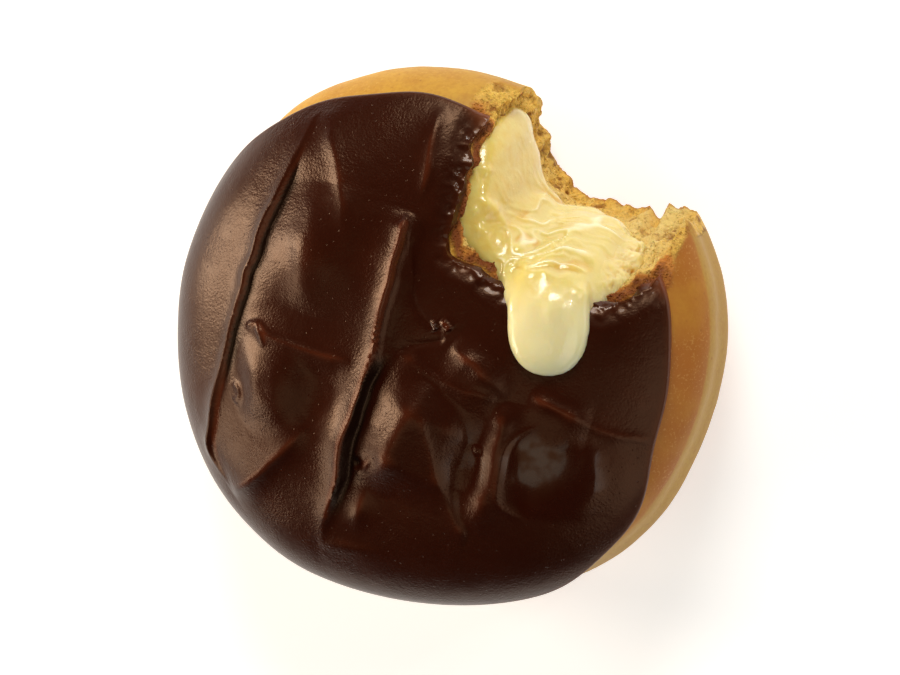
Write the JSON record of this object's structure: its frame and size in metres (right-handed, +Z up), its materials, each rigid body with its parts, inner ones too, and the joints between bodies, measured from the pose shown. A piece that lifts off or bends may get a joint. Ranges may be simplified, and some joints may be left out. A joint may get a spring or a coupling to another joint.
{
  "type": "filled doughnut",
  "caption": "Round filled doughnut, iced on top, with a bite out of its edge showing the custard, which drips over the icing.",
  "frame": {"origin": "middle of the doughnut's box seen from above, on the flat it rests on", "axes": "+Z up through the doughnut, +X to its right and +Y away from the viewer, the bite at the far right"},
  "size_m": [0.0886, 0.0851, 0.0388],
  "materials": {
    "dough": "satin",
    "custard": "glossy",
    "icing": "glossy"
  },
  "bodies": {
    "root": {"dough": "dough", "custard": "custard", "icing": "icing"}
  },
  "joints": []
}
